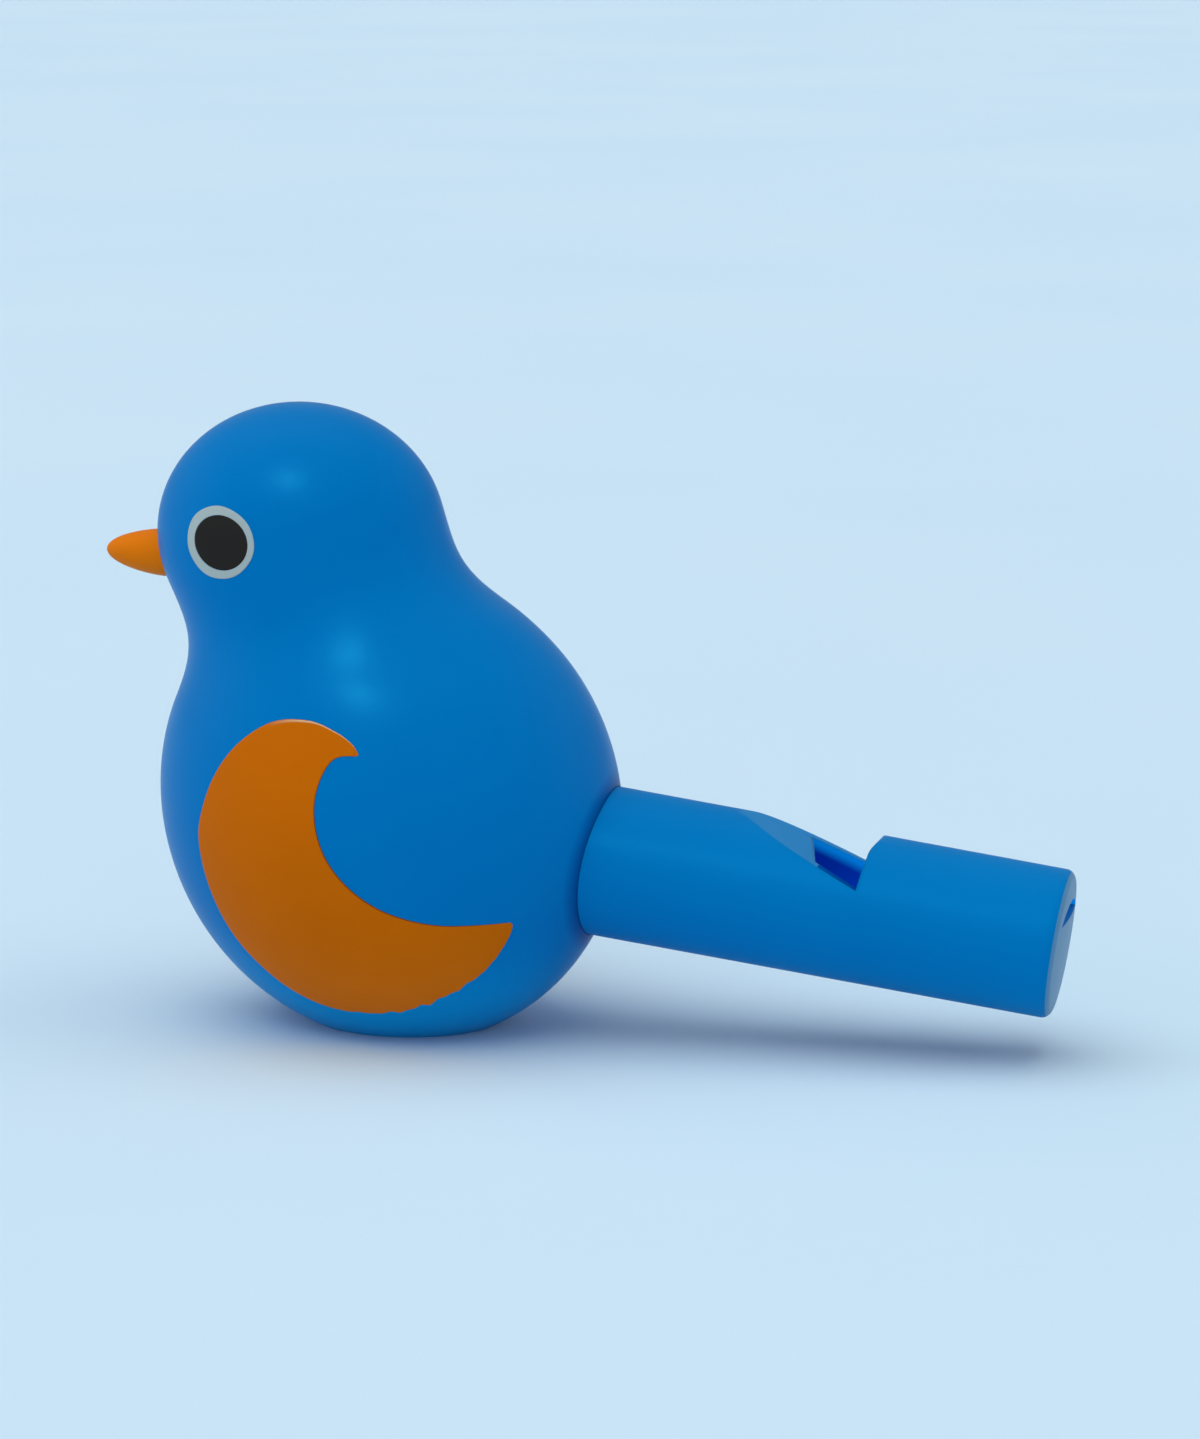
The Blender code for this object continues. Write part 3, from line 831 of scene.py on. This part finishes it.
def make_eye(side, hand):
    """The painted ring and the pupil inside it, on one side of the head."""
    eye_x = -HEAD_FORWARD - EYE_FORWARD
    eye_z = HEAD_MIDDLE + EYE_RISE
    pupil_x = eye_x - PUPIL_FORWARD

    def pupil_edge(turn, gap=0.0):
        radius_x = PUPIL_HALF_LENGTH + gap
        radius_z = PUPIL_HALF_HEIGHT + gap
        return eye_point(radius_x, radius_z, turn, pupil_x, eye_z)

    def ring_edge(turn):
        bulge = lump(turn)
        return eye_point(EYE_HALF_LENGTH + bulge, EYE_HALF_HEIGHT + bulge, turn, eye_x, eye_z)

    ring = polar_piece(hand + "_eye_ring_paint", side, lambda t: pupil_edge(t, PUPIL_GAP), ring_edge,
                       RING_ROWS, RING_CREST, RING_ROUNDING)
    register(ring, hand + "_eye_ring", RING)
    pupil = polar_piece(hand + "_pupil_paint", side, lambda t: (pupil_x, eye_z), pupil_edge,
                        PUPIL_ROWS, PUPIL_CREST, PUPIL_ROUNDING)
    register(pupil, hand + "_pupil", PUPIL)


def tube_radius(place):
    """The tail's radius at a distance along its axis."""
    surface = BODY_LENGTH / 2
    share = (place - surface) / (TUBE_MOUTH - surface)
    return TUBE_ROOT_RADIUS + (TUBE_MOUTH_RADIUS - TUBE_ROOT_RADIUS) * share


def ramp_height(place):
    """The ramp's height over the tail's axis, at a distance along it."""
    return STEP_FOOT + (STEP_PLACE - place) * math.tan(RAMP_ANGLE)


def notch_outline():
    """The sound window from the side: the ramp eased into the tail's top, the step rounded at its crest."""
    top = tube_radius(STEP_PLACE)
    start = STEP_PLACE - (top - STEP_FOOT) / math.tan(RAMP_ANGLE)
    ease = RAMP_ROUNDING * math.tan(RAMP_ANGLE / 2)
    entry = arc((start - ease, top - RAMP_ROUNDING), RAMP_ROUNDING, math.pi / 2, math.pi / 2 - RAMP_ANGLE, 16)
    crest_turn = math.pi / 2 - STEP_LEAN
    crest = STEP_PLACE + (top - STEP_FOOT) * math.tan(STEP_LEAN) + STEP_ROUNDING * math.tan(crest_turn / 2)
    leave = arc((crest, top - STEP_ROUNDING), STEP_ROUNDING, math.pi / 2 + crest_turn, math.pi / 2, 12)
    first = start - ease - CUT_MARGIN
    last = crest + CUT_MARGIN
    outline = [(first, ABOVE_TUBE), (first, top + CUT_MARGIN)]
    outline += entry[1:] + [(STEP_PLACE, STEP_FOOT)] + leave[:-1]
    return outline + [(last, top + CUT_MARGIN), (last, ABOVE_TUBE)]


def lip_block(back, lip, under):
    """What the hollow leaves of the ramp's underside. Its edge runs a little aslant across the tail."""
    verts = []
    for across in (-BESIDE_TUBE, BESIDE_TUBE):
        edge = lip + LIP_SKEW * across
        under_edge = ramp_height(edge) - LIP_EDGE
        for x, y in ((back, ABOVE_TUBE), (back, under), (edge, under_edge), (edge, ABOVE_TUBE)):
            verts.append(tube_side_matrix() @ Vector((x, y, across)))
    faces = [(0, 1, 2, 3), (7, 6, 5, 4), (0, 4, 5, 1), (1, 5, 6, 2), (2, 6, 7, 3), (3, 7, 4, 0)]
    mesh = mesh_from("lip_block", verts, faces)
    outward(mesh)
    return make_object("lip_block", mesh, TOOLS)


def make_bore():
    """The tail's hollow as a tool, less the ramp's underside and the windway's roof, which stay solid."""
    bore_radius = TUBE_MOUTH_RADIUS - TUBE_WALL
    far_end = TUBE_MOUTH - MOUTH_WALL
    profile = [(0.0, far_end), (bore_radius, far_end), (bore_radius, 0.0), (0.0, 0.0)]
    bore = make_object("bore", turned_mesh("bore", profile, tube_matrix(), TUBE_SIDES), TOOLS)
    lip = STEP_PLACE - LIP_GAP
    back = lip - LIP_BLOCK_LENGTH
    shelf_under = WINDWAY_FLOOR - SHELF_THICKNESS
    roof_outline = [(STEP_PLACE, ABOVE_TUBE), (STEP_PLACE, shelf_under), (TUBE_MOUTH, shelf_under),
                    (TUBE_MOUTH, ABOVE_TUBE)]
    keeps = [lip_block(back, lip, bore_radius),
             prism("windway_roof", roof_outline, -BESIDE_TUBE, BESIDE_TUBE, tube_side_matrix())]
    for keep in keeps:
        add_cut(bore, keep)
    return bore, keeps


def make_windway():
    """The slit from the mouth to the window, with a flat floor and an arched roof."""
    arch = (WINDWAY_HALF_WIDTH ** 2 + WINDWAY_HEIGHT ** 2) / (2 * WINDWAY_HEIGHT)
    spread = math.asin(WINDWAY_HALF_WIDTH / arch)
    outline = arc((WINDWAY_FLOOR + WINDWAY_HEIGHT - arch, 0.0), arch, -spread, spread, 40)
    return prism("windway", outline, STEP_PLACE - CUT_MARGIN, TUBE_MOUTH + MOUTH_ROUNDING, tube_matrix())


def tube_face_slot(place, normal):
    """Outside 0, hollow 1, mouth's end 2, ramp 3, or wall beside the window 4, in the tail's own frame."""
    if normal.z > 0.6 and place.z > TUBE_MOUTH - MOUTH_ROUNDING:
        return 2
    bore = TUBE_MOUTH_RADIUS - TUBE_WALL
    from_axis = math.hypot(place.x, place.y)
    in_bore = from_axis < bore + 0.00002 and normal.x * place.x + normal.y * place.y < 0.0
    under_lip = place.z < STEP_PLACE - LIP_GAP and normal.x < -0.5 and place.x > 0.0
    if in_bore or under_lip:
        return 1
    if place.z < STEP_PLACE and normal.z > 0.06 and place.x > 0.0:
        near_strip = place.z > STEP_PLACE - STRIP_START and place.y > 0.0
        return 4 if near_strip else 3
    return 0


def split_ramp(tube):
    """Parts the ramp's face from the strips of wall beside the window."""
    along = tube_matrix().to_3x3() @ Vector((0.0, 0.0, 1.0))
    start = tube_matrix() @ Vector((0.0, 0.0, STEP_PLACE - STRIP_START))
    model = bmesh.new()
    model.from_mesh(tube.data)
    step = tube_matrix() @ Vector((0.0, 0.0, STEP_PLACE))
    faces = []
    for face in model.faces:
        centre = face.calc_center_median()
        if face.normal.dot(along) > 0.2 and (centre - start).length < RAMP_REACH and centre.x < step.x:
            faces.append(face)
    edges = {e for f in faces for e in f.edges}
    verts = {v for f in faces for v in f.verts}
    bmesh.ops.bisect_plane(model, geom=faces + list(edges) + list(verts), plane_co=start, plane_no=along,
                           dist=1e-7)
    model.to_mesh(tube.data)
    model.free()


def make_tube():
    """The tail: a turned body, cut by the bore, the sound window and the windway."""
    mouth_radius = tube_radius(TUBE_MOUTH)
    rim_centre = (mouth_radius - MOUTH_ROUNDING, TUBE_MOUTH - MOUTH_ROUNDING)
    rim = arc(rim_centre, MOUTH_ROUNDING, math.pi / 2, 0.0, 12)
    dome = [(0.0, TUBE_MOUTH + MOUTH_DOME)]
    for i in range(1, DOME_STEPS):
        share = i / DOME_STEPS
        dome.append(((mouth_radius - MOUTH_ROUNDING) * share, TUBE_MOUTH + MOUTH_DOME * (1 - share ** 2)))
    profile = dome + rim
    length = TUBE_MOUTH - MOUTH_ROUNDING - TUBE_INNER_END
    for i in range(1, TUBE_STEPS + 1):
        place = TUBE_MOUTH - MOUTH_ROUNDING - length * i / TUBE_STEPS
        profile.append((tube_radius(place), place))
    profile.append((0.0, TUBE_INNER_END))
    tube = make_object("tail_tube", turned_mesh("tail_tube", profile, tube_matrix(), TUBE_SIDES))
    bore, keeps = make_bore()
    windway = make_windway()
    roll = tube_matrix() @ Matrix.Rotation(NOTCH_ROLL, 4, "Z") @ tube_matrix().inverted()
    notch = prism("notch", notch_outline(), -BESIDE_TUBE, BESIDE_TUBE, roll @ tube_side_matrix())
    for tool in (bore, notch, windway):
        add_cut(tube, tool)
    applied(tube)
    drop(bore, windway, notch, *keeps)
    split_ramp(tube)
    tube.data.shade_smooth()
    tube.data.set_sharp_from_angle(angle=TUBE_SMOOTH_ANGLE)
    weighted = tube.modifiers.new("weighted", "WEIGHTED_NORMAL")
    weighted.keep_sharp = True
    applied(tube)
    register(tube, "whistle_tube", BLUE_TUBE)
    for material in (BLUE_INSIDE_PAINTED_LIGHT, BLUE_END_PAINTED_REFLECTION, BLUE_RAMP_PAINTED_REFLECTION, BLUE_SHADE):
        tube.data.materials.append(material)
    matrix = tube_matrix().to_3x3()
    up_ramp = matrix @ Vector((math.cos(RAMP_ANGLE), 0.0, math.sin(RAMP_ANGLE)))
    foot = tube_matrix() @ Vector((STEP_FOOT, 0.0, STEP_PLACE))
    level = foot.dot(up_ramp)
    # Painted light: a glow on the hollow's inner wall under the window
    painted_inside_glow(BLUE_INSIDE_PAINTED_LIGHT, up_ramp, level - PAINTED_GLOW_FROM, level - PAINTED_GLOW_TO)
    to_tube = tube_matrix().inverted()
    for face in tube.data.polygons:
        face.material_index = tube_face_slot(to_tube @ face.center, to_tube.to_3x3() @ face.normal)


def worked_out(tree, operation, *values):
    """A number of a node tree: each value is a socket or a plain number."""
    node = tree.nodes.new("ShaderNodeMath")
    node.operation = operation
    for socket, value in zip(node.inputs, values):
        if isinstance(value, (int, float)):
            socket.default_value = value
        else:
            tree.links.new(value, socket)
    return node.outputs["Value"]


def beak_tree():
    """Geometry Nodes for a rounded cone: a grid rolled up, its radius set by the distance out of the head."""
    tree = bpy.data.node_groups.new("beak_cone", "GeometryNodeTree")
    for name in ("Length", "Radius", "Fullness", "Bluntness", "Sunk"):
        tree.interface.new_socket(name, in_out="INPUT", socket_type="NodeSocketFloat")
    tree.interface.new_socket("Material", in_out="INPUT", socket_type="NodeSocketMaterial")
    tree.interface.new_socket("Geometry", in_out="OUTPUT", socket_type="NodeSocketGeometry")
    size = tree.nodes.new("NodeGroupInput").outputs
    grid = tree.nodes.new("GeometryNodeMeshGrid")
    grid.inputs["Size X"].default_value = 1.0
    grid.inputs["Size Y"].default_value = 1.0
    grid.inputs["Vertices X"].default_value = BEAK_SIDES + 1
    grid.inputs["Vertices Y"].default_value = BEAK_ROWS
    place = tree.nodes.new("ShaderNodeSeparateXYZ")
    tree.links.new(tree.nodes.new("GeometryNodeInputPosition").outputs["Position"], place.inputs["Vector"])
    turn = worked_out(tree, "MULTIPLY", worked_out(tree, "ADD", place.outputs["X"], 0.5), 2 * math.pi)
    row = worked_out(tree, "MULTIPLY", worked_out(tree, "ADD", place.outputs["Y"], 0.5), BEAK_ROWS - 1)
    share = worked_out(tree, "DIVIDE", worked_out(tree, "SUBTRACT", row, 2.0), BEAK_ROWS - 3)
    share = worked_out(tree, "MULTIPLY", worked_out(tree, "MAXIMUM", share, 0.0), math.pi / 2)
    out = worked_out(tree, "SINE", share)
    left = worked_out(tree, "SUBTRACT", 1.0, worked_out(tree, "POWER", out, size["Fullness"]))
    narrowing = worked_out(tree, "POWER", worked_out(tree, "MAXIMUM", left, 0.0), size["Bluntness"])
    radius = worked_out(tree, "MULTIPLY", narrowing, size["Radius"])
    radius = worked_out(tree, "MULTIPLY", radius, worked_out(tree, "GREATER_THAN", row, 0.5))
    root = worked_out(tree, "MULTIPLY", worked_out(tree, "LESS_THAN", row, 1.5), size["Sunk"])
    height = worked_out(tree, "SUBTRACT", worked_out(tree, "MULTIPLY", out, size["Length"]), root)
    rolled = tree.nodes.new("ShaderNodeCombineXYZ")
    tree.links.new(worked_out(tree, "MULTIPLY", worked_out(tree, "COSINE", turn), radius), rolled.inputs["X"])
    tree.links.new(worked_out(tree, "MULTIPLY", worked_out(tree, "SINE", turn), radius), rolled.inputs["Y"])
    tree.links.new(height, rolled.inputs["Z"])
    put = tree.nodes.new("GeometryNodeSetPosition")
    tree.links.new(grid.outputs["Mesh"], put.inputs["Geometry"])
    tree.links.new(rolled.outputs["Vector"], put.inputs["Position"])
    merge = tree.nodes.new("GeometryNodeMergeByDistance")
    merge.inputs["Distance"].default_value = BEAK_MERGE
    realize = tree.nodes.new("GeometryNodeRealizeInstances")
    finish = tree.nodes.new("GeometryNodeSetMaterial")
    tree.links.new(size["Material"], finish.inputs["Material"])
    chain = [put, merge, realize, finish, tree.nodes.new("NodeGroupOutput")]
    for before, after in zip(chain, chain[1:]):
        tree.links.new(before.outputs["Geometry"], after.inputs["Geometry"])
    return tree


def set_inputs(modifier, values):
    """Sets a node tree's inputs by their names."""
    for item in modifier.node_group.interface.items_tree:
        if item.in_out == "INPUT" and item.name in values:
            modifier[item.identifier] = values[item.name]


def make_beak():
    """The orange cone, set on the front of the head with its root just inside."""
    height = HEAD_MIDDLE + BEAK_RISE
    middle, length, _ = section(height)
    turn = Euler((0.0, -math.pi / 2 + BEAK_TILT, 0.0)).to_matrix().to_4x4()
    beak = make_object("beak_cone", bpy.data.meshes.new("beak_cone"))
    beak.matrix_world = Matrix.Translation((middle - length, 0.0, height)) @ turn
    modifier = beak.modifiers.new("turned", "NODES")
    modifier.node_group = beak_tree()
    set_inputs(modifier, {"Length": BEAK_LENGTH, "Radius": BEAK_RADIUS, "Fullness": BEAK_FULLNESS,
                          "Bluntness": BEAK_BLUNTNESS, "Sunk": BEAK_SUNK, "Material": BEAK_ORANGE})
    applied(beak)
    outward(beak.data)
    beak.data.shade_smooth()
    beak.data.set_sharp_from_angle(angle=SMOOTH_ANGLE)
    register(beak, "beak", BEAK_ORANGE)


def make_body():
    """Head and body in one skin, with a blind opening in which the tail stands."""
    body = make_object("body_skin", skin_mesh("body_skin", SKIN_LEVELS, SKIN_SIDES))
    radius = tube_radius(BODY_LENGTH / 2) + SEAM_GAP
    floor = TUBE_INNER_END + OPENING_DEPTH
    profile = [(0.0, BODY_LENGTH), (radius, BODY_LENGTH), (radius, floor), (0.0, floor)]
    opening_mesh = turned_mesh("tail_opening", profile, tube_matrix(), TUBE_SIDES)
    opening = make_object("tail_opening", opening_mesh, TOOLS)
    add_cut(body, opening)
    applied(body)
    drop(opening)
    shade_from_skin(body)
    register(body, "body_shell", BLUE)


def make_wings():
    """The two orange crescents, mirrored."""
    # Painted shade and a painted highlight along the wings' edges
    painted_wing_edge_light(ORANGE)
    rows = wing_grid(WING_ROWS, WING_COLUMNS)
    rim = wing_rim(rows)
    for side, hand in ((-1, "left"), (1, "right")):
        wing = closed_sheet(hand + "_wing_inlay", rows, side, rim)
        register(wing, hand + "_wing", ORANGE)


make_body()
make_tube()
make_beak()
make_wings()
for eye_side, eye_hand in ((-1, "left"), (1, "right")):
    make_eye(eye_side, eye_hand)


# Floor and light

def add_floor():
    mesh = mesh_from("floor", [(-FLOOR_SIZE, -FLOOR_SIZE, 0.0), (FLOOR_SIZE, -FLOOR_SIZE, 0.0),
                               (FLOOR_SIZE, FLOOR_SIZE, 0.0), (-FLOOR_SIZE, FLOOR_SIZE, 0.0)], [(0, 1, 2, 3)])
    floor = make_object("floor", mesh, bpy.context.scene.collection)
    material, nodes, links, shader = new_material("floor_paint")
    place = nodes.new("ShaderNodeTexCoord").outputs["Object"]
    clouds = noise(nodes, links, place, 5.0, 3.0)
    colour = ramp(nodes, links, clouds, [(0.3, FLOOR_TINT), (0.7, FLOOR_LIGHT_TINT)])
    links.new(colour, shader.inputs["Base Color"])
    shader.inputs["Roughness"].default_value = 0.9
    shader.inputs["Specular IOR Level"].default_value = 0.1
    give(floor, material)


def add_sun(name, toward, strength, spread, colour, glossy=False, diffuse=True):
    """A far soft light that comes from the given direction."""
    light = bpy.data.lights.new(name, "SUN")
    light.energy = strength
    light.angle = math.radians(spread)
    light.color = colour
    obj = bpy.data.objects.new(name, light)
    bpy.context.scene.collection.objects.link(obj)
    obj.rotation_euler = Vector(toward).to_track_quat("Z", "Y").to_euler()
    obj.visible_glossy = glossy
    obj.visible_diffuse = diffuse


def add_world():
    world = bpy.data.worlds.new("studio")
    world.use_nodes = True
    background = world.node_tree.nodes["Background"]
    background.inputs["Color"].default_value = (0.93, 0.97, 1.0, 1.0)
    background.inputs["Strength"].default_value = 0.40
    bpy.context.scene.world = world


add_floor()
add_world()
add_sun("top_light", (-0.15, -0.1, 1.0), 1.9, 70, (0.97, 1.0, 0.94))
add_sun("left_light", (-1.0, -0.1, 0.20), 0.8, 60, (1.0, 1.0, 0.98))
add_sun("right_light", (1.0, 0.25, 0.35), 0.8, 60, (0.96, 0.98, 1.0))
add_sun("low_light", (-0.05, -1.0, 0.02), 1.10, 16, (0.98, 0.99, 1.0))
add_sun("highlight", (-0.13, -0.75, 0.80), 4.0, 8, (1.0, 0.98, 0.95), glossy=True, diffuse=False)
bpy.context.scene.view_settings.view_transform = "Standard"
